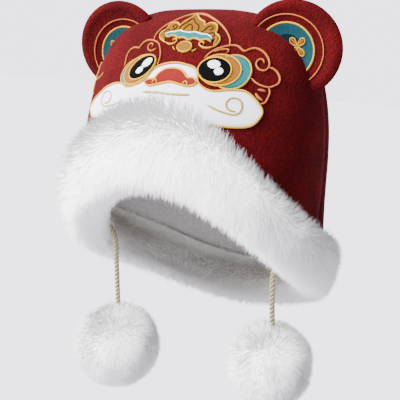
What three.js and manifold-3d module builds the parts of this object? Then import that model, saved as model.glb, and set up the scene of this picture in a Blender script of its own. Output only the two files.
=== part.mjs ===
import * as THREE from 'three';
import { mergeVertices } from 'three/addons/utils/BufferGeometryUtils.js';
import Module from 'manifold-3d';

const wasm = await Module();
wasm.setup();

// Driving sizes in millimetres. The front of the hat faces -Y, +X is the wearer's left and +Z is up.
// The origin is the inside top of the lining, where the hat sits on the head.
const CROWN_HALF_WIDTH = 96.5;
const CROWN_HALF_DEPTH = 82;
const CROWN_HEIGHT = 153;
const CROWN_TOP_Z = 6;
const CROWN_FOOT_Z = CROWN_TOP_Z - CROWN_HEIGHT;
// How the dome draws in towards its top seam, first seen from the front and then from the side.
const FRONT_VIEW_ROUND = { power: 3.9, root: 3.2 };
const SIDE_VIEW_ROUND = { power: 1.25, root: 2.44 };

const PLUSH_WALL = 2.5;
const LINING_OUTSIDE = 2.9;
const LINING_INSIDE = 6;
const GAP = 0.3;
const SEAM_GAP = 0.15;

// The hem rises over the forehead and drops over the ears and the nape.
const HEM_LEVEL = -154;
const HEM_TILT = 52;
const HEM_EAR_DROP = 8;
const HEM_NAPE_EASE = 5;
const CLOTH_BELOW_HEM = 14;

// Above the hem the crown swells at its front corners and draws in at its back ones.
const FRONT_SWELL = 0.09;
const SWELL_RISE = 60;

const COLUMNS = 36;
const ROWS = 10;
const ROW_EASE = 0.85;

// The colour and the roughness of each cloth, fur and thread.
const RED_PLUSH = { color: 0xa51c22, roughness: 0.95 };
const WHITE_PLUSH = { color: 0xf2f2f4, roughness: 0.95 };
const WHITE_FUR = { color: 0xf2f2f4, roughness: 1 };
const FLEECE = { color: 0xe6e2dc, roughness: 0.95 };
const TEAL_THREAD = { color: 0x3e9ca6, roughness: 0.6 };
const ORANGE_THREAD = { color: 0xd9963a, roughness: 0.6 };
const GOLD_THREAD = { color: 0xd6b25a, roughness: 0.6 };
const RED_THREAD = { color: 0xe0342a, roughness: 0.6 };
const BEIGE_CORD = { color: 0xcfc8b4, roughness: 0.9 };

const hat = new THREE.Group();

function addPiece(name, geometry, finish, parent = hat) {
  const material = new THREE.MeshStandardMaterial({ ...finish, metalness: 0 });
  const mesh = new THREE.Mesh(geometry, material);
  mesh.name = name;
  parent.add(mesh);
  return mesh;
}

// A closed mesh as a solid for joins and cuts, and back again.
const MERGE_WITHIN = 1e-4;

function toSolid(geometry) {
  const bare = geometry.clone();
  bare.deleteAttribute('normal');
  bare.deleteAttribute('uv');
  const merged = mergeVertices(bare, MERGE_WITHIN);
  const vertProperties = new Float32Array(merged.attributes.position.array);
  const triVerts = new Uint32Array(merged.index.array);
  return new wasm.Manifold(new wasm.Mesh({ numProp: 3, vertProperties, triVerts }));
}

function toGeometry(solid) {
  const mesh = solid.getMesh();
  const geometry = new THREE.BufferGeometry();
  geometry.setAttribute('position', new THREE.BufferAttribute(mesh.vertProperties, 3));
  geometry.setIndex(new THREE.BufferAttribute(mesh.triVerts, 1));
  geometry.computeVertexNormals();
  return geometry;
}

function geometryFrom(points, triangles) {
  const geometry = new THREE.BufferGeometry().setFromPoints(points);
  geometry.setIndex(triangles);
  geometry.computeVertexNormals();
  return geometry;
}

// A repeatable number between -1 and 1, for the unevenness of the fur.
const SCATTER = { index: 12.9898, salt: 78.233, spread: 43758.5453 };

function wobble(index, salt) {
  const turn = Math.sin(index * SCATTER.index + salt * SCATTER.salt) * SCATTER.spread;
  return 2 * (turn - Math.floor(turn)) - 1;
}

function hemZ(angle) {
  const tilt = -HEM_TILT * Math.sin(angle);
  const drop = -HEM_EAR_DROP * Math.cos(2 * angle);
  const ease = HEM_NAPE_EASE * Math.sin(3 * angle);
  return HEM_LEVEL + tilt + drop + ease;
}

// A point on the dome, or on a copy of it shrunk by `inset`. `angle` runs round the head from the
// wearer's left (+X) over the back (+Y), and below the foot of the dome the wall is straight.
function crownPoint(angle, z, inset) {
  const rise = (z - CROWN_FOOT_Z) / (CROWN_HEIGHT - inset);
  const u = Math.min(Math.max(rise, 0), 1);
  const across = (1 - u ** FRONT_VIEW_ROUND.power) ** (1 / FRONT_VIEW_ROUND.root);
  const along = (1 - u ** SIDE_VIEW_ROUND.power) ** (1 / SIDE_VIEW_ROUND.root);
  const climb = THREE.MathUtils.smoothstep(z, hemZ(angle), hemZ(angle) + SWELL_RISE);
  const swell = 1 - FRONT_SWELL * climb * Math.sin(angle);
  const x = (CROWN_HALF_WIDTH - inset) * swell * across * Math.cos(angle);
  const y = (CROWN_HALF_DEPTH - inset) * along * Math.sin(angle);
  return new THREE.Vector3(x, y, z);
}

// Rows crowd together towards the top seam, where the dome bends most.
function rowZ(angle, row, inset, bottomZ) {
  const top = CROWN_TOP_Z - inset;
  const share = Math.sin((row / ROWS) * Math.PI / 2) ** ROW_EASE;
  return bottomZ(angle) + (top - bottomZ(angle)) * share;
}

// A wall of the dome between two insets, from `bottomZ` to the top, round the whole head or over
// the columns from `first` to `last`, where its two side edges are closed as well.
function domeWall(outerInset, innerInset, bottomZ, first = 0, last = COLUMNS) {
  const whole = last - first === COLUMNS;
  const columns = last - first;
  const stops = whole ? columns : columns + 1;
  const points = [];
  for (const inset of [outerInset, innerInset]) {
    for (let i = 0; i < stops; i += 1) {
      const angle = ((first + i) / COLUMNS) * 2 * Math.PI;
      for (let j = 0; j < ROWS; j += 1) {
        points.push(crownPoint(angle, rowZ(angle, j, inset, bottomZ), inset));
      }
    }
    points.push(new THREE.Vector3(0, 0, CROWN_TOP_Z - inset));
  }
  const layer = stops * ROWS + 1;
  const at = (side, i, j) => side * layer + (j === ROWS ? layer - 1 : (i % stops) * ROWS + j);
  const triangles = [];
  for (let i = 0; i < columns; i += 1) {
    for (let j = 0; j < ROWS; j += 1) {
      triangles.push(at(0, i, j), at(0, i + 1, j), at(0, i + 1, j + 1));
      triangles.push(at(1, i, j), at(1, i + 1, j + 1), at(1, i + 1, j));
      if (j < ROWS - 1) {
        triangles.push(at(0, i, j), at(0, i + 1, j + 1), at(0, i, j + 1));
        triangles.push(at(1, i, j), at(1, i, j + 1), at(1, i + 1, j + 1));
      }
    }
    triangles.push(at(1, i, 0), at(1, i + 1, 0), at(0, i + 1, 0));
    triangles.push(at(1, i, 0), at(0, i + 1, 0), at(0, i, 0));
  }
  if (!whole) {
    for (let j = 0; j < ROWS; j += 1) {
      triangles.push(at(1, 0, j), at(0, 0, j), at(0, 0, j + 1));
      triangles.push(at(1, 0, j), at(0, 0, j + 1), at(1, 0, j + 1));
      triangles.push(at(1, columns, j), at(0, columns, j + 1), at(0, columns, j));
      triangles.push(at(1, columns, j), at(1, columns, j + 1), at(0, columns, j + 1));
    }
  }
  return geometryFrom(points, triangles);
}

const clothEdgeZ = (angle) => hemZ(angle) - CLOTH_BELOW_HEM;

// The room that the dome takes up, grown by `grow`, as a cutter that is solid almost to its axis.
const CUTTER_DEPTH = 78;
const domeSolid = (grow) => toSolid(domeWall(-grow, CUTTER_DEPTH, clothEdgeZ));

// Crown: a front and a back panel of red plush, sewn together over the top from side to side.
function crownPanels() {
  const half = COLUMNS / 2;
  const back = domeWall(0, PLUSH_WALL, clothEdgeZ, 0, half);
  const front = domeWall(0, PLUSH_WALL, clothEdgeZ, half, COLUMNS);
  addPiece('crown_back_panel', back, RED_PLUSH).position.y = SEAM_GAP;
  addPiece('crown_front_panel', front, RED_PLUSH).position.y = -SEAM_GAP;
}

function lining() {
  addPiece('lining', domeWall(LINING_OUTSIDE, LINING_INSIDE, clothEdgeZ), FLEECE);
}

// The two sides differ a little, because the soft hat sits unevenly.
const SIDES = [
  { name: 'left', sign: 1, pompomZ: -251.5, pompomRadius: 33, earX: 71.5, earZ: -19.5, patchDown: 1.5 },
  { name: 'right', sign: -1, pompomZ: -267.5, pompomRadius: 36, earX: -68.5, earZ: -23.5, patchDown: 5 },
];

// Tie cords: each is sewn to the inner face of the fur band over an ear and hangs down to the
// core of its pompom. `aside` is measured from the middle of the hat.
const CORD_DIAMETER = 4.4;
const CORD_SIDES = 8;
const CORD_STEP = 2.2 * CORD_DIAMETER;
const CORD_ROUTE = [
  { aside: 78, y: -14, z: -163 },
  { aside: 72.5, y: -14, z: -169 },
  { aside: 69.5, y: -13, z: -178 },
  { aside: 69, y: -11.5, z: -193 },
];
const CORD_END = { aside: 69, y: -5 };
const POMPOM_CORE_SHARE = 0.736;

const pompomCore = (side) => POMPOM_CORE_SHARE * side.pompomRadius;

// `startAbove` moves the sewn end on, outward and up.
function cordPoints(side, startAbove) {
  const at = (spot) => new THREE.Vector3(side.sign * spot.aside, spot.y, spot.z);
  const points = CORD_ROUTE.map(at);
  points[0].add(new THREE.Vector3(side.sign * startAbove, 0, startAbove));
  points.push(at({ ...CORD_END, z: side.pompomZ + pompomCore(side) + GAP }));
  return points;
}

function cordTube(side, diameter, startAbove) {
  const section = new THREE.Shape();
  for (let i = 0; i < CORD_SIDES; i += 1) {
    const angle = (i / CORD_SIDES) * 2 * Math.PI;
    const method = i === 0 ? 'moveTo' : 'lineTo';
    section[method](Math.cos(angle) * diameter / 2, Math.sin(angle) * diameter / 2);
  }
  section.closePath();
  const path = new THREE.CatmullRomCurve3(cordPoints(side, startAbove));
  const steps = Math.round(path.getLength() / CORD_STEP);
  return new THREE.ExtrudeGeometry(section, { steps, bevelEnabled: false, extrudePath: path });
}

function tieCords() {
  for (const side of SIDES) {
    addPiece(`tie_cord_${side.name}`, cordTube(side, CORD_DIAMETER, 0), BEIGE_CORD);
  }
}

// A lock of fur: a tapered tuft with its root inside what carries it.
const LOCK_SIDES = 4;

function lock(root, tip, width) {
  const along = tip.clone().sub(root);
  const cone = new THREE.ConeGeometry(width / 2, along.length(), LOCK_SIDES, 1);
  const turn = new THREE.Quaternion().setFromUnitVectors(new THREE.Vector3(0, 1, 0), along.normalize());
  cone.applyQuaternion(turn);
  const middle = root.clone().add(tip).multiplyScalar(0.5);
  cone.translate(middle.x, middle.y, middle.z);
  return toSolid(cone);
}

// Fur band: a padded strip that wraps the hem outside, below and a little way up inside. `out` is
// measured from the outside of the crown and `up` from the middle line of the band.
const BAND_SECTION = [
  { out: -3, up: 24 },
  { out: 4.5, up: 25.5 },
  { out: 8.5, up: 18 },
  { out: 10.5, up: 4 },
  { out: 10, up: -11 },
  { out: 6.5, up: -22 },
  { out: -2, up: -26 },
  { out: -12, up: -23 },
  { out: -16.5, up: -12 },
  { out: -15, up: -1 },
  { out: -10, up: 4.5 },
  { out: -3, up: 4.5 },
];
// The rows of locks round the band. `lean` is the lock's angle over the outward direction.
const BAND_LOCKS = [
  { out: 4, up: 18, lean: 66, length: 13 },
  { out: 5, up: 4, lean: 12, length: 12 },
  { out: 4, up: -14, lean: -50, length: 16 },
  { out: -6, up: -18, lean: -105, length: 15 },
  { out: -12, up: -8, lean: -172, length: 10 },
];
const LOCKS_ROUND = 18;
const LOCK_WIDTH = 23;
const LOCK_UNEVEN = 0.15;
const LOCK_STRAY = 0.05;
const STRAY_SALT = 20;
// The band reaches highest over the forehead, less high over the right ear and the nape, and least
// over the left ear, where the fur also lies flatter.
const TOP_SHARE = { round: 0.7, front: 0.37, frontPower: 4, leftLess: 0.26 };
const LEFT_FLATTER = 0.22;

function topShare(angle) {
  const front = Math.max(-Math.sin(angle), 0) ** TOP_SHARE.frontPower;
  return TOP_SHARE.round + TOP_SHARE.front * front - TOP_SHARE.leftLess * Math.cos(angle);
}

const depthShare = (angle) => 1 - LEFT_FLATTER * Math.max(Math.cos(angle), 0);

function outward(angle) {
  const x = Math.cos(angle) / CROWN_HALF_WIDTH;
  const y = Math.sin(angle) / CROWN_HALF_DEPTH;
  return new THREE.Vector3(x, y, 0).normalize();
}

function bandPoint(angle, out, up) {
  const height = up > 0 ? up * topShare(angle) : up;
  const wall = crownPoint(angle, hemZ(angle) + height, 0);
  return wall.addScaledVector(outward(angle), out > 0 ? out * depthShare(angle) : out);
}

// Pompoms: a round core with locks all over, open where its cord goes in.
const POMPOM_LOCKS = 28;
const POMPOM_LOCK_SHARE = 0.56;
const POMPOM_UNEVEN = 0.05;
const POMPOM_ROOT_SHARE = 0.75;
const POMPOM_DETAIL = 2;

function pompoms() {
  const golden = Math.PI * (3 - Math.sqrt(5));
  for (const side of SIDES) {
    const core = pompomCore(side);
    const solids = [toSolid(new THREE.IcosahedronGeometry(core, POMPOM_DETAIL))];
    for (let i = 0; i < POMPOM_LOCKS; i += 1) {
      const height = 1 - (2 * i + 1) / POMPOM_LOCKS;
      const ring = Math.sqrt(1 - height * height);
      const way = new THREE.Vector3(ring * Math.cos(i * golden), ring * Math.sin(i * golden), height);
      const reach = side.pompomRadius * (1 + POMPOM_UNEVEN * wobble(i, side.sign));
      const root = way.clone().multiplyScalar(POMPOM_ROOT_SHARE * core);
      solids.push(lock(root, way.multiplyScalar(reach), POMPOM_LOCK_SHARE * side.pompomRadius));
    }
    const last = cordPoints(side, 0).pop();
    const centre = new THREE.Vector3(last.x, last.y, side.pompomZ);
    const hole = cordTube(side, CORD_DIAMETER + 2 * GAP, 0);
    hole.translate(-centre.x, -centre.y, -centre.z - GAP);
    const ball = wasm.Manifold.union(solids).subtract(toSolid(hole));
    addPiece(`pompom_${side.name}`, toGeometry(ball), WHITE_FUR).position.copy(centre);
  }
}

// Ears: padded round cups of red plush, set into the seam and facing forward, each with an
// embroidered patch in its hollow.
const EAR_RADIUS = 33;
const EAR_WIDEN = 1.1;
const EAR_HALF_THICK = 4.5;
const EAR_RIM_POWER = 6;
const EAR_CUP = 7;
const EAR_Y = -19;
const EAR_FORWARD_TILT = 6;
const EAR_SEGMENTS = 24;
const EAR_RINGS = 4;
const EAR_PATCH = { radius: 19, inward: 4, thick: 1, clearOfRim: 3, cutDepth: 60 };

const earMiddle = (r) => EAR_CUP * (1 - (r / EAR_RADIUS) ** 2);
const earHalf = (r) => EAR_HALF_THICK * Math.sqrt(1 - (r / EAR_RADIUS) ** EAR_RIM_POWER);

// A cup turned about Y that is hollow towards the front, between two depths at each radius.
function cup(rimRadius, frontY, backY) {
  const profile = [];
  for (let i = 0; i <= EAR_RINGS; i += 1) {
    const r = rimRadius * Math.sin((i / EAR_RINGS) * Math.PI / 2);
    profile.push(new THREE.Vector2(r, frontY(r)));
  }
  for (let i = EAR_RINGS; i >= 0; i -= 1) {
    const r = rimRadius * Math.sin((i / EAR_RINGS) * Math.PI / 2);
    if (i < EAR_RINGS || backY(r) - frontY(r) > GAP) profile.push(new THREE.Vector2(r, backY(r)));
  }
  const geometry = new THREE.LatheGeometry(profile, EAR_SEGMENTS);
  geometry.scale(EAR_WIDEN, 1, 1);
  return geometry;
}

function ears() {
  const front = (r) => earMiddle(r) - earHalf(r);
  const back = (r) => earMiddle(r) + earHalf(r);
  const facing = (r) => front(r) - GAP;
  const outside = (r) => front(r) - GAP - EAR_PATCH.thick;
  for (const side of SIDES) {
    const mount = new THREE.Group();
    mount.position.set(side.earX, EAR_Y, side.earZ);
    mount.rotation.x = THREE.MathUtils.degToRad(EAR_FORWARD_TILT);
    mount.updateMatrixWorld(true);
    hat.add(mount);
    const toEar = mount.matrixWorld.clone().invert();
    const crownHere = (grow) => {
      const bare = toGeometry(domeSolid(grow));
      bare.applyMatrix4(toEar);
      return toSolid(bare);
    };
    const ear = toSolid(cup(EAR_RADIUS, front, back)).subtract(crownHere(GAP));
    addPiece(`ear_${side.name}`, toGeometry(ear), RED_PLUSH, mount);

    const { radius, cutDepth } = EAR_PATCH;
    const trim = new THREE.CylinderGeometry(radius, radius, cutDepth, EAR_SEGMENTS);
    trim.scale(EAR_WIDEN, 1, 1);
    trim.translate(-side.sign * EAR_PATCH.inward, 0, -side.patchDown);
    const sheet = toSolid(cup(EAR_RADIUS - EAR_PATCH.clearOfRim, outside, facing));
    const patch = sheet.intersect(toSolid(trim)).subtract(crownHere(2 * GAP));
    addPiece(`ear_patch_${side.name}`, toGeometry(patch), TEAL_THREAD, mount);
  }
}

// Face: patches that lie on the front panel. An outline is drawn in the front view, x across and
// y for the height, and is carried straight back onto the plush.
const PATCH_THICK = 1;
const PATCH_CUT_DEPTH = 120;
const OVAL_STEPS = 24;
const EYES = {
  left: { x: 36, z: -37.6, halfWide: 17.7, halfHigh: 11.2 },
  right: { x: -32, z: -39.5, halfWide: 14.5, halfHigh: 10.5 },
};
const NOSE_STEPS = 14;
const NOSE_ROOM = { x: 0, z: -44, grow: 1.05 };
const NOSE_HALF = [
  { x: 0, z: -38 },
  { x: 6, z: -38.6 },
  { x: 10.5, z: -41.6 },
  { x: 14, z: -44 },
  { x: 18.3, z: -44.6 },
  { x: 19.6, z: -47 },
  { x: 16, z: -49.4 },
  { x: 8.5, z: -49.2 },
  { x: 0, z: -47.6 },
];
// Round the whole muzzle from the middle of its foot.
const MUZZLE = [
  { x: 0, z: -71.5 },
  { x: 25, z: -72 },
  { x: 50, z: -73 },
  { x: 60.5, z: -71.2 },
  { x: 65.2, z: -65.5 },
  { x: 65, z: -60.5 },
  { x: 60, z: -54 },
  { x: 53, z: -49.2 },
  { x: 45, z: -48.8 },
  { x: 30, z: -50.5 },
  { x: 21, z: -46 },
  { x: 17, z: -37.4 },
  { x: 8, z: -34.6 },
  { x: 0, z: -33.8 },
  { x: -8, z: -34.6 },
  { x: -16, z: -37.4 },
  { x: -20, z: -46 },
  { x: -30, z: -50.5 },
  { x: -48, z: -50.5 },
  { x: -58.7, z: -54.6 },
  { x: -65, z: -59 },
  { x: -72.8, z: -65.3 },
  { x: -76, z: -70.5 },
  { x: -72, z: -76 },
  { x: -60, z: -77 },
  { x: -25, z: -72.5 },
  { x: 0, z: -71.5 },
];
const MUZZLE_STEPS = 40;
const MUZZLE_ROOM = { x: 0, z: -55, grow: 1.03 };
const FOREHEAD_HALF = [
  { x: 0, z: 0 },
  { x: 5, z: -4 },
  { x: 9, z: -7.6 },
  { x: 14, z: -6.4 },
  { x: 18.5, z: -9.5 },
  { x: 20, z: -12.5 },
  { x: 24.5, z: -15.5 },
  { x: 25, z: -19 },
  { x: 22, z: -21.6 },
  { x: 18, z: -17.5 },
  { x: 10, z: -17 },
  { x: 3.5, z: -17.6 },
  { x: 0, z: -16 },
];
const FOREHEAD_STEPS = 16;

// A smooth outline through the points, and through a half's points and their mirror images.
function smooth(spots, steps) {
  return new THREE.SplineCurve(spots.map((spot) => new THREE.Vector2(spot.x, spot.z))).getPoints(steps);
}

function mirrored(half, steps) {
  const right = smooth(half, steps);
  const left = right.slice(1, -1).reverse().map((point) => new THREE.Vector2(-point.x, point.y));
  return right.concat(left);
}

function ellipse(oval, grow) {
  const curve = new THREE.EllipseCurve(oval.x, oval.z, oval.halfWide + grow, oval.halfHigh + grow);
  return curve.getPoints(OVAL_STEPS).slice(0, -1);
}

// The outline grown about a middle, to leave room round what it draws.
function grown(outline, room) {
  const middle = new THREE.Vector2(room.x, room.z);
  return outline.map((point) => point.clone().sub(middle).multiplyScalar(room.grow).add(middle));
}

// The outline as a solid that runs from the middle of the hat out through its front.
function through(outline) {
  const shape = new THREE.Shape(outline);
  const block = new THREE.ExtrudeGeometry(shape, { depth: PATCH_CUT_DEPTH, bevelEnabled: false });
  block.rotateX(Math.PI / 2);
  return toSolid(block);
}

function facePatches() {
  const half = COLUMNS / 2;
  const sheet = domeWall(-GAP - PATCH_THICK, -GAP, clothEdgeZ, half, COLUMNS);
  sheet.translate(0, -SEAM_GAP, 0);
  const plush = toSolid(sheet);
  const nose = mirrored(NOSE_HALF, NOSE_STEPS);
  const muzzleOutline = smooth(MUZZLE, MUZZLE_STEPS).slice(0, -1);
  let muzzle = plush.intersect(through(muzzleOutline)).subtract(through(grown(nose, NOSE_ROOM)));
  for (const side of SIDES) {
    const oval = EYES[side.name];
    muzzle = muzzle.subtract(through(ellipse(oval, GAP)));
    const eye = plush.intersect(through(ellipse(oval, 0)));
    addPiece(`eye_patch_${side.name}`, toGeometry(eye), ORANGE_THREAD);
  }
  addPiece('muzzle_patch', toGeometry(muzzle), WHITE_PLUSH);
  addPiece('nose_patch', toGeometry(plush.intersect(through(nose))), RED_THREAD);
  const forehead = plush.intersect(through(mirrored(FOREHEAD_HALF, FOREHEAD_STEPS)));
  addPiece('forehead_patch', toGeometry(forehead), GOLD_THREAD);
}

// The muzzle patch runs on under the fur, so the band leaves room for its foot.
function muzzleRoom() {
  const raised = toSolid(domeWall(-PATCH_THICK - 3 * GAP, LINING_OUTSIDE, clothEdgeZ));
  return raised.intersect(through(grown(smooth(MUZZLE, MUZZLE_STEPS).slice(0, -1), MUZZLE_ROOM)));
}

function furBand() {
  const points = [];
  const triangles = [];
  const turns = BAND_SECTION.length;
  for (let i = 0; i < COLUMNS; i += 1) {
    const angle = (i / COLUMNS) * 2 * Math.PI;
    for (const spot of BAND_SECTION) points.push(bandPoint(angle, spot.out, spot.up));
  }
  const at = (i, j) => (i % COLUMNS) * turns + (j % turns);
  for (let i = 0; i < COLUMNS; i += 1) {
    for (let j = 0; j < turns; j += 1) {
      triangles.push(at(i, j), at(i + 1, j + 1), at(i + 1, j));
      triangles.push(at(i, j), at(i, j + 1), at(i + 1, j + 1));
    }
  }
  const solids = [toSolid(geometryFrom(points, triangles))];
  BAND_LOCKS.forEach((row, r) => {
    const lean = THREE.MathUtils.degToRad(row.lean);
    for (let i = 0; i < LOCKS_ROUND; i += 1) {
      const angle = ((i + (r % 2) / 2) / LOCKS_ROUND) * 2 * Math.PI;
      const reach = row.length * depthShare(angle) * (1 + LOCK_UNEVEN * wobble(i, r));
      const sideways = LOCK_STRAY * wobble(i, r + STRAY_SALT);
      const root = bandPoint(angle, row.out, row.up);
      const tip = root.clone().addScaledVector(outward(angle + sideways), reach * Math.cos(lean));
      tip.z += reach * Math.sin(lean);
      tip.applyAxisAngle(new THREE.Vector3(0, 0, 1), sideways);
      solids.push(lock(root, tip, LOCK_WIDTH));
    }
  });
  const slot = domeWall(-2 * GAP, LINING_INSIDE + 2 * GAP, (angle) => clothEdgeZ(angle) - 2 * GAP);
  let band = wasm.Manifold.union(solids).subtract(toSolid(slot)).subtract(muzzleRoom());
  for (const side of SIDES) {
    band = band.subtract(toSolid(cordTube(side, CORD_DIAMETER + 2 * GAP, GAP)));
  }
  // The tips of locks that the muzzle's room cuts off fall away.
  const bodies = band.decompose().sort((one, other) => other.volume() - one.volume());
  addPiece('fur_band', toGeometry(bodies[0]), WHITE_FUR);
}

crownPanels();
lining();
furBand();
ears();
facePatches();
tieCords();
pompoms();

export default hat;
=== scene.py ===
import math
import bpy
import bmesh
import numpy as np
from mathutils import Euler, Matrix, Quaternion, Vector, noise


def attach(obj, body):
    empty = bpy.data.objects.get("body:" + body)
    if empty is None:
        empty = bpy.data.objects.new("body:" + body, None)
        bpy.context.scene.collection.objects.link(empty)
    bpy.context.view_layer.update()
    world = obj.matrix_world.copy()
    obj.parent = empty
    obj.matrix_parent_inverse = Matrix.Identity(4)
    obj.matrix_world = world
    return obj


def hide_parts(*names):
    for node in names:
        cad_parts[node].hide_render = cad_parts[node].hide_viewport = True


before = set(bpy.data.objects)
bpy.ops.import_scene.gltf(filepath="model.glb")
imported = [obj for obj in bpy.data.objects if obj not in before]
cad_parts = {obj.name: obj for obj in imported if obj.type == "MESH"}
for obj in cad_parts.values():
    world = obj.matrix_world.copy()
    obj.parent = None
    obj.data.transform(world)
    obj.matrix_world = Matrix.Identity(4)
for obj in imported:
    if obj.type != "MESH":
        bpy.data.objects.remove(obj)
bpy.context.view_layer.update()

# Camera. The hat is seen from a little above and from the wearer's left of its front, and leans
# a few degrees to the right in the picture.
MM = 0.001
IMAGE_WIDTH = 400
CAMERA_AZIMUTH = 27.65
CAMERA_HEIGHT = 11.08
CAMERA_DISTANCE = 600 * MM
CAMERA_ROLL = 3.64
LOOK_AT = Vector((0, 0, -147 * MM))
LOOK_AT_PIXEL = (200.93, 213.36)
FOCAL_PIXELS = 774
SENSOR_WIDTH = 36


def way_to(azimuth, height):
    """The way from the hat to a place round it, by its degrees from the front and above level."""
    azimuth, height = math.radians(azimuth), math.radians(height)
    level = math.cos(height)
    return Vector((math.sin(azimuth) * level, -math.cos(azimuth) * level, math.sin(height)))


def place_facing_back(item, away, distance):
    """Puts a camera or lamp that far out along `away`, turned to look back at the hat."""
    item.location = LOOK_AT + away * distance
    item.rotation_mode = "QUATERNION"
    item.rotation_quaternion = (-away).to_track_quat("-Z", "Y")
    bpy.context.scene.collection.objects.link(item)


camera_data = bpy.data.cameras.new("camera")
camera_data.sensor_width = SENSOR_WIDTH
camera_data.lens = SENSOR_WIDTH * FOCAL_PIXELS / IMAGE_WIDTH
camera_data.shift_x = (IMAGE_WIDTH / 2 - LOOK_AT_PIXEL[0]) / IMAGE_WIDTH
camera_data.shift_y = (LOOK_AT_PIXEL[1] - IMAGE_WIDTH / 2) / IMAGE_WIDTH
camera = bpy.data.objects.new("camera", camera_data)
place_facing_back(camera, way_to(CAMERA_AZIMUTH, CAMERA_HEIGHT), CAMERA_DISTANCE)
camera.rotation_quaternion = camera.rotation_quaternion @ Quaternion((0, 0, 1), math.radians(CAMERA_ROLL))
bpy.context.scene.camera = camera


# Tie cords. Each is a three-ply twisted cotton cord, sewn to the inner face of the fur over an
# ear, and hangs down to its pompom. The photo shows them end to end.
def linear(code):
    """A hex sRGB colour as linear red, green, blue and alpha."""
    shares = [int(code[i:i + 2], 16) / 255 for i in (0, 2, 4)]
    return [s / 12.92 if s <= 0.04045 else ((s + 0.055) / 1.055) ** 2.4 for s in shares] + [1.0]


def add(tree, kind, inputs=(), **settings):
    """A node with its settings, whose inputs are values or the outputs that they are linked to."""
    made = tree.nodes.new(kind)
    for name, value in settings.items():
        setattr(made, name, value)
    for key, value in dict(inputs).items():
        if isinstance(value, bpy.types.NodeSocket):
            tree.links.new(value, made.inputs[key])
        else:
            made.inputs[key].default_value = value
    return made


SHEEN_ROUGHNESS = 0.4


def new_material(name, code, roughness, sheen=0.0, sheen_code="FFFFFF", specular=0.3):
    """A material with its shader's constants set, and that shader."""
    material = bpy.data.materials.new(name)
    material.use_nodes = True
    shader = material.node_tree.nodes["Principled BSDF"]
    for label, value in (
        ("Base Color", linear(code)), ("Roughness", roughness), ("Specular IOR Level", specular),
        ("Sheen Weight", sheen), ("Sheen Roughness", SHEEN_ROUGHNESS), ("Sheen Tint", linear(sheen_code)),
    ):
        shader.inputs[label].default_value = value
    return material, shader


def grain(tree, scale, detail=2.0):
    """Noise in the piece's own coordinates, with about `scale` grains to the metre."""
    place = add(tree, "ShaderNodeTexCoord").outputs["Object"]
    return add(tree, "ShaderNodeTexNoise", {"Vector": place, "Scale": scale, "Detail": detail}).outputs["Fac"]


def spread(tree, value, low, high, to_low, to_high):
    """The value's range from `low` to `high`, carried over to another range."""
    return add(tree, "ShaderNodeMapRange", {
        "Value": value, "From Min": low, "From Max": high, "To Min": to_low, "To Max": to_high,
    }).outputs["Result"]


def mix(tree, share, one, other):
    """Two colours, codes or sockets, mixed by a share."""
    one, other = (linear(colour) if isinstance(colour, str) else colour for colour in (one, other))
    mixed = add(tree, "ShaderNodeMix", {"Factor": share, "A": one, "B": other}, data_type="RGBA")
    return mixed.outputs["Result"]


def dress(tree, shader, colour, height, strength, depth):
    """Links a colour and a bump, `depth` millimetres deep, to the shader."""
    tree.links.new(colour, shader.inputs["Base Color"])
    bump = add(tree, "ShaderNodeBump", {"Height": height, "Strength": strength, "Distance": depth * MM})
    tree.links.new(bump.outputs["Normal"], shader.inputs["Normal"])


LEAST_STEP = 1e-4


def curve_through(points, steps, closed=False, alpha=0.5):
    """Points on a smooth curve through the given ones, `steps` to each span. `alpha` says how far
    the spans' lengths count: at 0 not at all, and at 0.5 so that no loops form."""
    spots = [np.array(point, float) for point in points]
    if closed:
        spots = [spots[-1]] + spots + spots[:2]
    else:
        spots = [2 * spots[0] - spots[1]] + spots + [2 * spots[-1] - spots[-2]]
    out = []
    for p0, p1, p2, p3 in zip(spots, spots[1:], spots[2:], spots[3:]):
        t1 = max(np.linalg.norm(p1 - p0) ** alpha, LEAST_STEP)
        t2 = t1 + max(np.linalg.norm(p2 - p1) ** alpha, LEAST_STEP)
        t3 = t2 + max(np.linalg.norm(p3 - p2) ** alpha, LEAST_STEP)
        for k in range(steps):
            t = t1 + (t2 - t1) * k / steps
            a1 = p0 * (t1 - t) / t1 + p1 * t / t1
            a2 = p1 * (t2 - t) / (t2 - t1) + p2 * (t - t1) / (t2 - t1)
            a3 = p2 * (t3 - t) / (t3 - t2) + p3 * (t - t2) / (t3 - t2)
            b1 = a1 * (t2 - t) / t2 + a2 * t / t2
            b2 = a2 * (t3 - t) / (t3 - t1) + a3 * (t - t1) / (t3 - t1)
            out.append(b1 * (t2 - t) / (t2 - t1) + b2 * (t - t1) / (t2 - t1))
    return out if closed else out + [spots[-2]]


def evenly(points, gap):
    """The same line with its points `gap` apart, or as near as divides its length."""
    line = np.array(points)
    reach = np.concatenate([[0], np.cumsum(np.linalg.norm(np.diff(line, axis=0), axis=1))])
    count = max(2, round(reach[-1] / gap) + 1)
    at = np.linspace(0, reach[-1], count)
    return np.stack([np.interp(at, reach, line[:, k]) for k in range(line.shape[1])], axis=1)


def new_piece(name, points_mm, faces, materials, smooth=True, outward=False):
    """A mesh object at the origin from points in millimetres. `outward` turns closed shells."""
    mesh = bpy.data.meshes.new(name)
    mesh.from_pydata([Vector(p) * MM for p in points_mm], [], faces)
    for material in materials:
        mesh.materials.append(material)
    if outward:
        work = bmesh.new()
        work.from_mesh(mesh)
        bmesh.ops.recalc_face_normals(work, faces=work.faces)
        work.to_mesh(mesh)
        work.free()
    mesh.polygons.foreach_set("use_smooth", [smooth] * len(mesh.polygons))
    piece = bpy.data.objects.new(name, mesh)
    bpy.context.scene.collection.objects.link(piece)
    return piece


CORD_DIAMETER = 4.4
PLIES = 3
PLY_POINTS = 7
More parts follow.
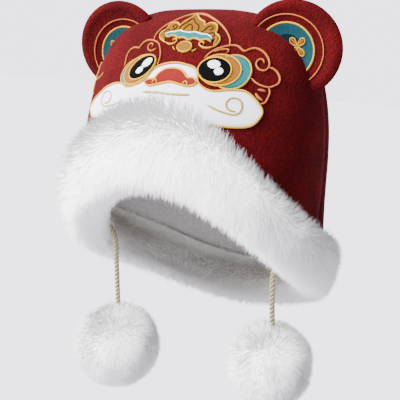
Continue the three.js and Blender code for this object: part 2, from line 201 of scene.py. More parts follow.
# Below 1 the groove between two plies stays open to its foot.
PLY_PINCH = 0.9
TWIST_LENGTH = 10.5
ROUTE_STEPS = 24
CORD_STEP = 0.6
CORD_PATH_STEP = 2.5
POMPOM_CORE_SHARE = 0.736
GAP = 0.3
# The two sides differ a little, because the soft hat sits unevenly.
SIDES = (
    {"name": "left", "sign": 1, "pompom_z": -251.5, "pompom_radius": 33, "ear_x": 71.5, "ear_z": -19.5},
    {"name": "right", "sign": -1, "pompom_z": -267.5, "pompom_radius": 36, "ear_x": -68.5, "ear_z": -23.5},
)
# From the sewn end down: distance aside from the middle, place from front to back, and height.
CORD_ROUTE = ((78, -14, -163), (72.5, -14, -169), (69.5, -13, -178), (69, -11.5, -193))
CORD_END = (69, -5)


def cord_route(side):
    end_z = side["pompom_z"] + POMPOM_CORE_SHARE * side["pompom_radius"] + GAP
    return [(side["sign"] * aside, y, z) for aside, y, z in CORD_ROUTE + (CORD_END + (end_z,),)]


# Cotton yarn, twisted: dull, with a little fuzz, and painted shade darkens it where the plies meet.
cord_cotton, shader = new_material("cotton_yarn_twisted", "A89C80", 0.9, sheen=0.25, specular=0.2)
tree = cord_cotton.node_tree
ply = add(tree, "ShaderNodeAttribute", attribute_name="ply_height")
# Fibres about 0.4 mm across.
fibre = grain(tree, 2500.0, 3.0)
# Painted shade: the colour runs from dark in the grooves between the plies to light on their crowns.
shade = add(tree, "ShaderNodeValToRGB", {"Fac": ply.outputs["Fac"]})
shade.color_ramp.elements[0].color = linear("4A3E28")
shade.color_ramp.elements[1].color = linear("B4A888")
shade.color_ramp.elements[1].position = 0.75
dress(tree, shader, mix(tree, fibre, shade.outputs["Color"], "8A7C60"), fibre, 0.4, 0.3)


def twisted_cord(name, route):
    """A tube round the route whose section is three plies that turn as they go."""
    line = [Vector(p) for p in evenly(curve_through(route, ROUTE_STEPS), CORD_STEP)]
    ply_radius = CORD_DIAMETER / 2 / (1 + 2 / math.sqrt(3))
    off = ply_radius * 2 / math.sqrt(3)
    points, faces, heights = [], [], []
    around = PLIES * PLY_POINTS
    side_way = Vector((0, 1, 0))
    for i, spot in enumerate(line):
        ahead = (line[min(i + 1, len(line) - 1)] - line[max(i - 1, 0)]).normalized()
        side_way = (side_way - ahead * side_way.dot(ahead)).normalized()
        other = ahead.cross(side_way)
        for k in range(around):
            share = k / around
            in_ply = (share * PLIES) % 1 - 0.5
            bend = in_ply * 2 * math.pi / PLIES
            groove = PLY_PINCH * (off * math.sin(bend)) ** 2
            reach = off * math.cos(bend) + math.sqrt(ply_radius ** 2 - groove)
            turn = 2 * math.pi * (share + i * CORD_STEP / TWIST_LENGTH)
            points.append(spot + (side_way * math.cos(turn) + other * math.sin(turn)) * reach)
            heights.append(1 - abs(in_ply) * 2)
    for i in range(len(line) - 1):
        for k in range(around):
            a, b = i * around + k, i * around + (k + 1) % around
            faces.append((a, b, b + around, a + around))
    faces.append(tuple(reversed(range(around))))
    faces.append(tuple(range((len(line) - 1) * around, len(line) * around)))
    piece = new_piece(name, points, faces, [cord_cotton], outward=True)
    piece.data.attributes.new("ply_height", "FLOAT", "POINT").data.foreach_set("value", heights)
    return piece, line


cords = {}
for side in SIDES:
    cords[side["name"]] = twisted_cord(f"cord_{side['name']}", cord_route(side))


# Pompoms. Each is a ball of long white faux fur gathered round a stuffed core, with the cord's
# end sewn inside, so the hairs stand out all round in soft locks.
HAIR_TAPER = 0.8
HAIR_UNEVEN = (0.78, 1.08)
HAIR_TURN = 0.7
BAKE_CELLS = 256
BAKE_CELL_SHARE = 0.9


def maths(tree, operation, one, other=0.0):
    return add(tree, "ShaderNodeMath", {0: one, 1: other}, operation=operation).outputs[0]


def vectors(tree, operation, one, other=(0, 0, 0)):
    return add(tree, "ShaderNodeVectorMath", {0: one, 1: other}, operation=operation).outputs[0]


def scaled(tree, vector, by):
    return add(tree, "ShaderNodeVectorMath", {0: vector, "Scale": by}, operation="SCALE").outputs[0]


def fact(tree, label, kind="FLOAT"):
    """A named attribute of the geometry, and `keep` stores one."""
    return add(tree, "GeometryNodeInputNamedAttribute", {"Name": label}, data_type=kind).outputs[0]


def keep(tree, geometry, label, value, kind, domain):
    return add(tree, "GeometryNodeStoreNamedAttribute", {
        "Geometry": geometry, "Name": label, "Value": value,
    }, data_type=kind, domain=domain).outputs[0]


def random_number(tree, least, most, seed):
    made = add(tree, "FunctionNodeRandomValue", {2: least, 3: most, "Seed": seed}, data_type="FLOAT")
    return made.outputs[1]


def random_way(tree, reach, seed):
    return add(tree, "FunctionNodeRandomValue", {
        0: (-reach,) * 3, 1: (reach,) * 3, "Seed": seed,
    }, data_type="FLOAT_VECTOR").outputs[0]


def fur_tree():
    """Hair that grows from a base along its `comb` attribute, gathered into locks."""
    tree = bpy.data.node_groups.new("faux_fur_pile", "GeometryNodeTree")
    for label, kind in (
        ("Base", "Geometry"), ("Hairs per m2", "Float"), ("Length", "Float"), ("Width Share", "Float"),
        ("Bend", "Float"), ("Lock Size", "Float"), ("Lock Pull", "Float"), ("Stray", "Float"),
        ("Seed", "Int"), ("Hair", "Material"),
    ):
        tree.interface.new_socket(label, in_out="INPUT", socket_type=f"NodeSocket{kind}")
    tree.interface.new_socket("Fur", in_out="OUTPUT", socket_type="NodeSocketGeometry")
    given = add(tree, "NodeGroupInput").outputs
    # One flat hair of unit length along Z, widest near its root, in two steps.
    grid = add(tree, "GeometryNodeMeshGrid", {"Size X": 1.0, "Size Y": 1.0, "Vertices X": 2, "Vertices Y": 3})
    here = add(tree, "ShaderNodeSeparateXYZ", {0: add(tree, "GeometryNodeInputPosition").outputs[0]})
    along = maths(tree, "ADD", here.outputs["Y"], 0.5)
    taper = maths(tree, "POWER", maths(tree, "SUBTRACT", 1.0, along), HAIR_TAPER)
    wide = maths(tree, "MULTIPLY", maths(tree, "MULTIPLY", here.outputs["X"], taper), given["Width Share"])
    bow = maths(tree, "MULTIPLY", maths(tree, "POWER", along, 2.0), given["Bend"])
    bent = add(tree, "ShaderNodeCombineXYZ", {"X": bow, "Y": wide, "Z": along})
    hair = keep(tree, grid.outputs["Mesh"], "along", along, "FLOAT", "POINT")
    hair = keep(tree, hair, "cell_uv", grid.outputs["UV Map"], "FLOAT_VECTOR", "CORNER")
    hair = add(tree, "GeometryNodeSetPosition", {"Geometry": hair, "Position": bent.outputs[0]})
    hair = add(tree, "GeometryNodeMergeByDistance", {"Geometry": hair.outputs[0], "Distance": 1e-5})
    # Where the hairs stand, and which way each one goes.
    spots = add(tree, "GeometryNodeDistributePointsOnFaces", {
        "Mesh": given["Base"], "Seed": given["Seed"],
        "Density": maths(tree, "MULTIPLY", given["Hairs per m2"], fact(tree, "cover")),
    })
    facing = spots.outputs["Normal"]
    stray = scaled(tree, random_way(tree, 1, given["Seed"]), given["Stray"])
    way = vectors(tree, "NORMALIZE", vectors(tree, "ADD", fact(tree, "comb", "FLOAT_VECTOR"), stray))
    reach = maths(tree, "MULTIPLY", given["Length"], fact(tree, "pile"))
    reach = maths(tree, "MULTIPLY", reach, random_number(tree, *HAIR_UNEVEN, 5))
    # The middle of the lock that each hair belongs to draws its tip sideways.
    root = add(tree, "GeometryNodeInputPosition").outputs[0]
    per_metre = maths(tree, "DIVIDE", 1.0, given["Lock Size"])
    lock = add(tree, "ShaderNodeTexVoronoi", {"Vector": root, "Scale": per_metre})
    pull = vectors(tree, "SUBTRACT", lock.outputs["Position"], root)
    off = add(tree, "ShaderNodeVectorMath", {0: pull, 1: facing}, operation="DOT_PRODUCT").outputs["Value"]
    pull = vectors(tree, "SUBTRACT", pull, scaled(tree, facing, off))
    tip = vectors(tree, "ADD", scaled(tree, way, reach), scaled(tree, pull, given["Lock Pull"]))
    turn = add(tree, "FunctionNodeAlignRotationToVector", {"Vector": tip}, axis="Z")
    # The flat side faces outward, give or take a third of a turn to either side.
    turn = add(tree, "FunctionNodeAlignRotationToVector", {
        "Rotation": turn.outputs[0], "Vector": vectors(tree, "ADD", facing, random_way(tree, HAIR_TURN, 9)),
    }, axis="X", pivot_axis="Z")
    hairs = add(tree, "GeometryNodeInstanceOnPoints", {
        "Points": spots.outputs["Points"], "Instance": hair.outputs[0],
        "Rotation": turn.outputs[0], "Scale": reach,
    })
    # Facts of each hair for its material: its painted shade (cream), the way its base faces, its number and its
    # random tone.
    fur = hairs.outputs[0]
    for label, kind, value in (
        ("cream", "FLOAT", fact(tree, "cream")),
        ("base_facing", "FLOAT_VECTOR", facing),
        ("hair_number", "INT", add(tree, "GeometryNodeInputIndex").outputs[0]),
        ("tone", "FLOAT", random_number(tree, 0.0, 1.0, 3)),
    ):
        fur = keep(tree, fur, label, value, kind, "INSTANCE")
    fur = add(tree, "GeometryNodeRealizeInstances", {"Geometry": fur}).outputs[0]
    # Each hair has its own small cell of the OFBake map.
    number = fact(tree, "hair_number", "INT")
    row = maths(tree, "FLOOR", maths(tree, "DIVIDE", number, float(BAKE_CELLS)))
    column = maths(tree, "MODULO", number, float(BAKE_CELLS))
    corner = add(tree, "ShaderNodeCombineXYZ", {"X": column, "Y": row}).outputs[0]
    inside = scaled(tree, fact(tree, "cell_uv", "FLOAT_VECTOR"), BAKE_CELL_SHARE)
    cell = scaled(tree, vectors(tree, "ADD", corner, inside), 1 / BAKE_CELLS)
    fur = keep(tree, fur, "OFBake", cell, "FLOAT2", "CORNER")
    fur = add(tree, "GeometryNodeSetMaterial", {"Geometry": fur, "Material": given["Hair"]}).outputs[0]
    add(tree, "NodeGroupOutput", {0: fur})
    return tree


FUR = fur_tree()


def grow_fur(name, base, settings):
    """The hairs on a base as a plain mesh of its own. They let the light through to each other."""
    modifier = base.modifiers.new("fur", "NODES")
    modifier.node_group = FUR
    for socket in FUR.interface.items_tree:
        if socket.name in settings:
            modifier[socket.identifier] = settings[socket.name]
    ready = base.evaluated_get(bpy.context.evaluated_depsgraph_get())
    mesh = bpy.data.meshes.new_from_object(ready)
    base.modifiers.remove(modifier)
    mesh.name = name
    mesh.polygons.foreach_set("use_smooth", [True] * len(mesh.polygons))
    for spare in ("cell_uv", "hair_number"):
        if spare in mesh.attributes:
            mesh.attributes.remove(mesh.attributes[spare])
    piece = bpy.data.objects.new(name, mesh)
    piece.visible_shadow = False
    bpy.context.scene.collection.objects.link(piece)
    return piece


def comb_base(piece, combs, piles, covers, inner_shades=None):
    """The base's facts for its hairs: their way, share of the length, how thick, and how much painted shade
    (cream) darkens and warms them.
    """
    mesh = piece.data
    flat = [number for comb in combs for number in comb]
    mesh.attributes.new("comb", "FLOAT_VECTOR", "POINT").data.foreach_set("vector", flat)
    mesh.attributes.new("pile", "FLOAT", "POINT").data.foreach_set("value", piles)
    mesh.attributes.new("cover", "FLOAT", "POINT").data.foreach_set("value", covers)
    mesh.attributes.new("cream", "FLOAT", "POINT").data.foreach_set("value", inner_shades or [0.0] * len(piles))


# Acrylic faux fur, brushed: a soft gloss along the tips, and painted shade that darkens the hairs towards their
# roots.
FUR_ROOT_SHADE_CODE = "F0F0F2"
FUR_TIP_CODE = "FDFDFF"
# Painted shade for the band's inner face, darker and warmer than the white fur.
FUR_INNER_SHADE_CODE = "D3C8B6"
OWN_SIDE_SHARE = 0.45
white_fur, shader = new_material("acrylic_faux_fur_brushed", FUR_TIP_CODE, 0.6, sheen=0.35, specular=0.25)
tree = white_fur.node_tree
along, tone, cream, mass = (
    add(tree, "ShaderNodeAttribute", attribute_name=label).outputs
    for label in ("along", "tone", "cream", "base_facing")
)
# Painted shade between the roots: each hair is darker at its root than at its tip.
ramp = add(tree, "ShaderNodeValToRGB", {"Fac": along["Fac"]})
ramp.color_ramp.elements[0].color = linear(FUR_ROOT_SHADE_CODE)
ramp.color_ramp.elements[1].color = linear(FUR_TIP_CODE)
ramp.color_ramp.elements[1].position = 0.6
root_shade_and_tone = mix(tree, spread(tree, tone["Fac"], 0.0, 1.0, 0.0, 0.2), ramp.outputs["Color"], FUR_ROOT_SHADE_CODE)
# The cream attribute mixes in painted shade, darker and warmer, where the band turns inside the hat.
tree.links.new(mix(tree, cream["Fac"], root_shade_and_tone, FUR_INNER_SHADE_CODE), shader.inputs["Base Color"])
# Light that the hairs pass on to each other makes them shade as one soft mass, and each hair's
# own side shows only a little.
own = scaled(tree, add(tree, "ShaderNodeNewGeometry").outputs["Normal"], OWN_SIDE_SHARE)
facing = vectors(tree, "NORMALIZE", vectors(tree, "ADD", mass["Vector"], own))
tree.links.new(facing, shader.inputs["Normal"])

# The knitted backing under the hairs, which hardly shows.
fur_backing, shader = new_material("knitted_fur_backing", "F2F1F1", 0.95, sheen=0.3)
tree = fur_backing.node_tree
knit = add(tree, "ShaderNodeBump", {"Height": grain(tree, 700.0), "Strength": 0.5, "Distance": 0.8 * MM})
tree.links.new(knit.outputs["Normal"], shader.inputs["Normal"])

POMPOM_BASE_SHARE = 0.79
POMPOM_HAIR_SHARE = 0.26
POMPOM_HAIRS = {
    "Hairs per m2": 4.2e6, "Width Share": 0.055, "Bend": 0.12, "Lock Size": 8 * MM, "Lock Pull": 0.15,
    "Stray": 0.45, "Hair": white_fur,
}
POMPOM_SEED = 11
# The noise turns over this many times to a ball's radius.
POMPOM_LUMP = {"size": 0.06, "turns": 2}
POMPOM_SWIRL = {"size": 0.55, "turns": 1.6}
POMPOM_DROOP = Vector((0, 0, -0.3))
SWIRL_SEED = 1
noise.seed_set(SWIRL_SEED)
for side in SIDES:
    work = bmesh.new()
    bmesh.ops.create_icosphere(work, subdivisions=4, radius=1)
    ways = [vert.co.normalized() for vert in work.verts]
    faces = [tuple(vert.index for vert in face.verts) for face in work.faces]
    work.free()
    centre = Vector((side["sign"] * CORD_END[0], CORD_END[1], side["pompom_z"]))
    lumps = [1 + POMPOM_LUMP["size"] * noise.noise(way * POMPOM_LUMP["turns"] + centre) for way in ways]
    base_radius = POMPOM_BASE_SHARE * side["pompom_radius"]
    points = [centre + way * base_radius * lump for way, lump in zip(ways, lumps)]
    core = new_piece(f"pompom_core_{side['name']}", points, faces, [fur_backing], outward=True)
    # The hairs lean over in soft swirls, and a little down under their weight.
    swirls = []
    for way in ways:
        drift = noise.noise_vector(way * POMPOM_SWIRL["turns"] + centre) * POMPOM_SWIRL["size"]
        drift -= way * drift.dot(way)
        swirls.append((way + drift + POMPOM_DROOP).normalized())
    comb_base(core, swirls, lumps, [1.0] * len(ways))
    ball = grow_fur(f"pompom_fur_{side['name']}", core, {
        **POMPOM_HAIRS, "Length": POMPOM_HAIR_SHARE * side["pompom_radius"] * MM,
        "Seed": POMPOM_SEED + side["sign"],
    })
    cord, line = cords[side["name"]]
    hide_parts(f"pompom_{side['name']}")
    for piece in (core, ball):
        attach(piece, "root")
    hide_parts(f"tie_cord_{side['name']}")
    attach(cord, "root")
    route = evenly(line, CORD_PATH_STEP)
    length = float(np.linalg.norm(np.diff(route, axis=0), axis=1).sum())
    [p * MM for p in route]


# Crown. A front and a back panel of red short-pile plush, sewn together over the top of the
# head from side to side. The seam draws the cloth in, so the panels swell a little beside it.
CROWN_HALF_WIDTH = 96.5
CROWN_HALF_DEPTH = 82
CROWN_HEIGHT = 153
CROWN_TOP_Z = 6
CROWN_FOOT_Z = CROWN_TOP_Z - CROWN_HEIGHT
FRONT_VIEW_ROUND = {"power": 3.9, "root": 3.2}
SIDE_VIEW_ROUND = {"power": 1.25, "root": 2.44}
PLUSH_WALL = 2.5
HEM_LEVEL = -154
HEM_TILT = 52
HEM_EAR_DROP = 8
HEM_NAPE_EASE = 5
CLOTH_BELOW_HEM = 14
FRONT_SWELL = 0.09
SWELL_RISE = 60
# The seam's groove, and the swelling beside it: how far from it, how wide and how high.
SEAM_DEPTH = 2.1
SEAM_WIDTH = 2.6
SEAM_SWELL = {"off": 9, "wide": 6, "high": 0.7}
CREASE_DEPTH = 0.7
CREASE_SIZE = 38
PANEL_COLUMNS = 84
PANEL_ROWS = 56
ROW_EASE = 0.85
COLUMN_CROWD = 0.75
# The steps over which a normal is measured, and how far below the top that still works.
NORMAL_TURN = 0.01
NORMAL_CLIMB = 0.3
NORMAL_BELOW_TOP = 0.6


def hem_z(angle):
    tilt = -HEM_TILT * math.sin(angle) - HEM_EAR_DROP * math.cos(2 * angle)
    return HEM_LEVEL + tilt + HEM_NAPE_EASE * math.sin(3 * angle)


def front_swell(angle, z):
    """The crown's swelling at its front corners, which fades out towards the hem."""
    t = min(max((z - hem_z(angle)) / SWELL_RISE, 0), 1)
    return 1 - FRONT_SWELL * t * t * (3 - 2 * t) * math.sin(angle)


def dome_shares(z, inset=0.0):
    """How wide and how deep the dome is at a height, as shares of its foot."""
    u = min(max((z - CROWN_FOOT_Z) / (CROWN_HEIGHT - inset), 0), 1)
    across = (1 - u ** FRONT_VIEW_ROUND["power"]) ** (1 / FRONT_VIEW_ROUND["root"])
    along = (1 - u ** SIDE_VIEW_ROUND["power"]) ** (1 / SIDE_VIEW_ROUND["root"])
    return across, along


def dome_point(angle, z, inset=0.0):
    across, along = dome_shares(z, inset)
    x = (CROWN_HALF_WIDTH - inset) * front_swell(angle, z) * across * math.cos(angle)
    y = (CROWN_HALF_DEPTH - inset) * along * math.sin(angle)
    return Vector((x, y, z))


def dome_normal(angle, z):
    z = min(z, CROWN_TOP_Z - NORMAL_BELOW_TOP)
    round_way = dome_point(angle + NORMAL_TURN, z) - dome_point(angle - NORMAL_TURN, z)
    up_way = dome_point(angle, z + NORMAL_CLIMB) - dome_point(angle, z - NORMAL_CLIMB)
    return round_way.cross(up_way).normalized()


def crown_skin(angle, z, lift=0.0):
    """A point on the plush, or `lift` above it, with its seam and soft creases."""
    spot = dome_point(angle, z)
    groove = SEAM_DEPTH * math.exp(-(spot.y / SEAM_WIDTH) ** 2)
    swell = SEAM_SWELL["high"] * math.exp(-((abs(spot.y) - SEAM_SWELL["off"]) / SEAM_SWELL["wide"]) ** 2)
    crease = CREASE_DEPTH * noise.noise(spot / CREASE_SIZE)
    return spot + dome_normal(angle, z) * (swell - groove + crease + lift)


def row_z(angle, row, rows, inset):
    bottom = hem_z(angle) - CLOTH_BELOW_HEM
    return bottom + (CROWN_TOP_Z - inset - bottom) * math.sin(row / rows * math.pi / 2) ** ROW_EASE


def shell_faces(columns, rows):
    """A closed wall of an outer and an inner skin, open only below, with its rims joined."""
    layer = (columns + 1) * rows + 1
    at = lambda skin, i, j: skin * layer + (layer - 1 if j == rows else i * rows + j)
    faces = []
    for i in range(columns):
        for j in range(rows):
            outer = (at(0, i, j), at(0, i + 1, j), at(0, i + 1, j + 1), at(0, i, j + 1))
            inner = (at(1, i, j), at(1, i, j + 1), at(1, i + 1, j + 1), at(1, i + 1, j))
            faces.append(outer if j < rows - 1 else outer[:3])
            faces.append(inner if j < rows - 1 else (inner[0], inner[1], inner[3]))
        faces.append((at(1, i, 0), at(1, i + 1, 0), at(0, i + 1, 0), at(0, i, 0)))
    for i in (0, columns):
        for j in range(rows):
            rim = (at(0, i, j), at(0, i, j + 1), at(1, i, j + 1), at(1, i, j))
            faces.append(rim if i == 0 else tuple(reversed(rim)))
    return faces


# Polyester plush, short cut pile: it drinks light head on and glows softly at grazing angles.
red_plush, shader = new_material(
    "polyester_plush_cut_pile", "350305", 0.95, sheen=0.04, sheen_code="E8606A", specular=0.05,
)
tree = red_plush.node_tree
# Patches where the pile leans another way, some 25 mm across. A tuft of the real pile is about
# 0.7 mm across, and is drawn 1.4 mm across so that it shows.
leaning = spread(tree, grain(tree, 40.0, 3.0), 0.35, 0.65, 0.0, 1.0)
tufts = grain(tree, 700.0, 3.0)
# Painted shade darkens the gaps between the tufts.
between = spread(tree, tufts, 0.32, 0.62, 0.75, 0.0)
dress(tree, shader, mix(tree, between, mix(tree, leaning, "390306", "460608"), "1E0102"), tufts, 0.8, 1.0)

for name, first in (("back", 0.0), ("front", math.pi)):
    points = []
    for inset in (0.0, PLUSH_WALL):
        for i in range(PANEL_COLUMNS + 1):
            share = i / PANEL_COLUMNS
            # Columns crowd towards the seam, where the cloth bends most.
            angle = first + math.pi * share - COLUMN_CROWD * math.sin(2 * math.pi * share) / 2
            for j in range(PANEL_ROWS):
                z = row_z(angle, j, PANEL_ROWS, inset)
                points.append(dome_point(angle, z, inset) if inset else crown_skin(angle, z))
        points.append(Vector((0, 0, CROWN_TOP_Z - inset - (0 if inset else SEAM_DEPTH))))
    panel = new_piece(f"crown_{name}", points, shell_faces(PANEL_COLUMNS, PANEL_ROWS), [red_plush])
    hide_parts(f"crown_{name}_panel")
    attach(panel, "root")


# Lining. Brushed white fleece that follows the crown inside and is caught in the hem.
LINING_OUTSIDE = 2.9
LINING_INSIDE = 6
LINING_COLUMNS = 96
LINING_ROWS = 40
SLACK_DEPTH = 0.8
SLACK_SIZE = 22
# Polyester fleece, brushed: matt and slightly pilled. Its white is coloured grey, as painted shade of the crown's
# inside.
fleece, shader = new_material("polyester_fleece_brushed", "928E8B", 1.0, sheen=0.1, specular=0.1)
tree = fleece.node_tree
pills = grain(tree, 420.0, 4.0)
dress(tree, shader, mix(tree, pills, "A39E9B", "807B79"), pills, 0.7, 0.9)

points = []
for inset in (LINING_OUTSIDE, LINING_INSIDE):
    for i in range(LINING_COLUMNS + 1):
        angle = 2 * math.pi * i / LINING_COLUMNS
        for j in range(LINING_ROWS):
            spot = dome_point(angle, row_z(angle, j, LINING_ROWS, inset), inset)
            slack = SLACK_DEPTH * noise.noise(spot / SLACK_SIZE) if inset == LINING_INSIDE else 0.0
            points.append(spot - dome_normal(angle, spot.z) * abs(slack))
    points.append(Vector((0, 0, CROWN_TOP_Z - inset)))
# The wall runs all the way round, so its two side rims meet and are left out.
faces = shell_faces(LINING_COLUMNS, LINING_ROWS)[:-2 * LINING_ROWS]
lining = new_piece("lining_fleece", points, faces, [fleece])
work = bmesh.new()
work.from_mesh(lining.data)
bmesh.ops.remove_doubles(work, verts=work.verts, dist=1e-6)
work.to_mesh(lining.data)
work.free()
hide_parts("lining")
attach(lining, "root")


# Fur band. A padded strip of deep white faux fur that wraps the hem outside, below and a little
# way up inside. Its hairs are brushed up over the plush above and down over the opening below.
BAND_SECTION = (
    # out and up in mm, the hairs' lean over outward in degrees, their share of the length, cover
    # and cream: painted shade, darker and warmer, on the band's inner face
    (-3, 22, 90, 0.8, 0.0, 0.0),
    (3.5, 23, 66, 0.95, 1.0, 0.0),
    (7.5, 17, 12, 1.0, 1.0, 0.0),
    (9.5, 4, -36, 1.0, 1.0, 0.0),
    (9, -11, -64, 1.0, 1.0, 0.0),
    (5.5, -21, -88, 1.05, 1.0, 0.0),
    (-2, -24, -104, 1.05, 1.0, 0.0),
    (-11, -21, -138, 0.9, 1.0, 0.2),
    (-15.5, -12, -172, 0.6, 1.0, 0.6),
    (-12.5, -3, -190, 0.5, 1.0, 0.9),
    (-9, 3, -205, 0.45, 1.0, 0.8),
    (-7.2, 9, -225, 0.45, 1.0, 0.7),
    (-6.4, 13, -240, 0.3, 1.0, 0.6),
    (-3, 13, -240, 0.2, 0.0, 0.6),
)
TOP_SHARE = {"round": 0.7, "front": 0.37, "front_power": 4, "left_less": 0.26}
LEFT_FLATTER = 0.22
BAND_COLUMNS = 144
SECTION_STEPS = 3
BAND_LUMP_DEPTH = 1.2
BAND_LUMP_SIZE = 16
LEAST_PILE = 0.2
BAND_HAIRS = {"Hairs per m2": 1.15e6, "Bend": 0.1, "Lock Size": 6.5 * MM, "Hair": white_fur}
# Dense short underwool, then two layers of longer guard hairs.
BAND_LAYERS = (
    ("fur_underwool", {"Length": 7 * MM, "Width Share": 0.08, "Lock Pull": 0.05, "Stray": 0.3, "Seed": 21}),
    ("fur_pile_low", {"Length": 10.5 * MM, "Width Share": 0.06, "Lock Pull": 0.12, "Stray": 0.25, "Seed": 22}),
    ("fur_pile_high", {"Length": 13 * MM, "Width Share": 0.05, "Lock Pull": 0.45, "Stray": 0.2, "Seed": 23}),
)


def top_share(angle):
    """The band's share of its height above the hem: most over the forehead, least over the left ear."""
    front = max(-math.sin(angle), 0) ** TOP_SHARE["front_power"]
    return TOP_SHARE["round"] + TOP_SHARE["front"] * front - TOP_SHARE["left_less"] * math.cos(angle)


def depth_share(angle):
    return 1 - LEFT_FLATTER * max(math.cos(angle), 0)


def band_outward(angle):
    return Vector((math.cos(angle) / CROWN_HALF_WIDTH, math.sin(angle) / CROWN_HALF_DEPTH, 0)).normalized()


section = curve_through(BAND_SECTION, SECTION_STEPS, closed=True, alpha=0)
points, combs, piles, covers, inner_shades = [], [], [], [], []
for i in range(BAND_COLUMNS):
    angle = 2 * math.pi * i / BAND_COLUMNS
    outward = band_outward(angle)
    for out, up, lean, share, cover, cream in section:
        wall = dome_point(angle, hem_z(angle) + (up * top_share(angle) if up > 0 else up))
        spot = wall + outward * (out * depth_share(angle) if out > 0 else out)
        points.append(spot + outward * (BAND_LUMP_DEPTH * noise.noise(spot / BAND_LUMP_SIZE)))
        lean = math.radians(lean)
        combs.append(outward * math.cos(lean) + Vector((0, 0, math.sin(lean))))
        piles.append(max(share, LEAST_PILE) * depth_share(angle))
        covers.append(min(max(cover, 0), 1))
        inner_shades.append(min(max(cream, 0), 1))
turns = len(section)
faces = []
for i in range(BAND_COLUMNS):
    here, there = i * turns, (i + 1) % BAND_COLUMNS * turns
    for j in range(turns):
        k = (j + 1) % turns
        faces.append((here + j, here + k, there + k, there + j))
strip = new_piece("fur_backing", points, faces, [fur_backing], outward=True)
comb_base(strip, combs, piles, covers, inner_shades)
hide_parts("fur_band")
pieces = [strip]
for name, hairs in BAND_LAYERS:
    pieces.append(grow_fur(name, strip, {**BAND_HAIRS, **hairs}))
for piece in pieces:
    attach(piece, "root")


# Embroidered face. Satin-stitched patches and lines on the front panel: white plush muzzle, red
# nose, round eyes, a gold cloud with a flame, and scrolls. Threads run across each line.
# A real thread is 0.4 mm wide. It is drawn 0.9 mm wide, the least that shows, and its unevenness
# is drawn out along it. At the last of these scales the wave has one ridge to each unit.
THREAD_WIDTH = 0.9
DRAWN_OUT = 0.12
ONE_RIDGE = math.pi / 10


def satin_thread(name, code, shadow_code, roughness=0.45, specular=0.04):
    """Rayon thread, satin-stitched: silky, with each pass of thread a fine ridge."""
    material, shader = new_material(name, code, roughness, specular=specular)
    tree = material.node_tree
    chart = add(tree, "ShaderNodeUVMap", uv_map="stitch").outputs["UV"]
    laid = add(tree, "ShaderNodeMapping", {"Vector": chart, "Scale": (1 / THREAD_WIDTH, DRAWN_OUT, 1)})
    ridge = add(tree, "ShaderNodeTexWave", {
        "Vector": laid.outputs["Vector"], "Scale": ONE_RIDGE, "Distortion": 1.2, "Detail": 2.0,
    }).outputs["Fac"]
    shadow = spread(tree, ridge, 0.0, 1.0, 0.45, 0.0)
    dress(tree, shader, mix(tree, shadow, code, shadow_code), ridge, 0.5, 0.3)
    return material


THREAD_CODES = {
    # The thread's colour, and that of the shadow between its passes.
    "cream": ("BC8B1C", "7D5B1E"), "straw": ("9D862A", "6E5A1C"), "rose": ("A65E29", "633923"),
    "gold": ("6E4805", "432A0C"), "bronze": ("351D0B", "251206"), "orange": ("784603", "4B300C"),
    "teal": ("035F5F", "12353C"), "deep_teal": ("11373D", "0A2329"), "red": ("660301", "430503"),
    "black": ("040405", "020202", 0.6, 0.01), "white": ("DDDDE1", "B5B5BC"),
}
THREADS = {name: satin_thread(f"rayon_thread_{name}", *codes) for name, codes in THREAD_CODES.items()}
# Polyester plush, white, short cut pile, for the muzzle.
white_plush, shader = new_material("polyester_plush_white", "D0D0DD", 0.95, sheen=0.1, specular=0.1)
tree = white_plush.node_tree
tufts = grain(tree, 1100.0)
dress(tree, shader, mix(tree, tufts, "D8D8E4", "C0C0D0"), tufts, 0.4, 0.4)
COLOURS = list(THREADS) + ["plush"]


ON_FRONT_ROUNDS = 4
NEARLY_ONE = 0.999
LEAST_HALF_WIDTH = 1e-3


def on_front(x, z, lift):
    """The plush at a place in the front view, x across and z up, and `lift` above it."""
    across, _ = dome_shares(z)
    swell = 1.0
    # The swelling depends on the angle, which is found nearer each time round.
    for _ in range(ON_FRONT_ROUNDS):
        share = x / max(CROWN_HALF_WIDTH * swell * across, LEAST_HALF_WIDTH)
        angle = -math.acos(min(max(share, -NEARLY_ONE), NEARLY_ONE))
        swell = front_swell(angle, z)
    return crown_skin(angle, z, lift)


# Sections of the stitching, from one edge to the other: share of the width, and height in mm.
LINE_SECTION = ((0.0, -0.4), (0.12, 0.75), (0.5, 1.0), (0.88, 0.75), (1.0, -0.4))
FILL_SECTION = (
    (0.0, -0.5), (0.03, 0.7), (0.1, 0.9), (0.2, 1.0), (0.35, 1.0), (0.5, 1.0), (0.65, 1.0),
    (0.8, 1.0), (0.9, 0.9), (0.97, 0.7), (1.0, -0.5),
)


def stitch(work, pairs, section, height, thread, place, closed=False, base=0.0):
    """One raised strip of stitching between pairs of edge points in the chart of `place`."""
    start = len(work["points"])
    size = len(section)
    run = 0.0
    for k, (low, high) in enumerate(pairs):
        low, high = np.array(low), np.array(high)
        middle = (low + high) / 2
        run += np.linalg.norm(middle - last) if k else 0.0
        last = middle
        for share, up in section:
            spot = low + (high - low) * share
            work["points"].append(place(spot[0], spot[1], base + up * height if up > 0 else up))
            work["uv"].append((run, share * np.linalg.norm(high - low)))
    rings = len(pairs)
    for k in range(rings if closed else rings - 1):
        here, there = start + k * size, start + (k + 1) % rings * size
        for m in range(size):
            n = (m + 1) % size
            work["faces"].append((here + m, here + n, there + n, there + m))
    if not closed:
        work["faces"].append(tuple(range(start, start + size)))
        work["faces"].append(tuple(reversed(range(start + (rings - 1) * size, start + rings * size))))
    work["thread"] += [COLOURS.index(thread)] * (len(work["faces"]) - len(work["thread"]))


LINE_STEPS = 10
LINE_GAP = 1.1
# A line's ends: their share of the width, and how much more of it each next point has.
LINE_END = {"share": 0.35, "growth": 0.4}


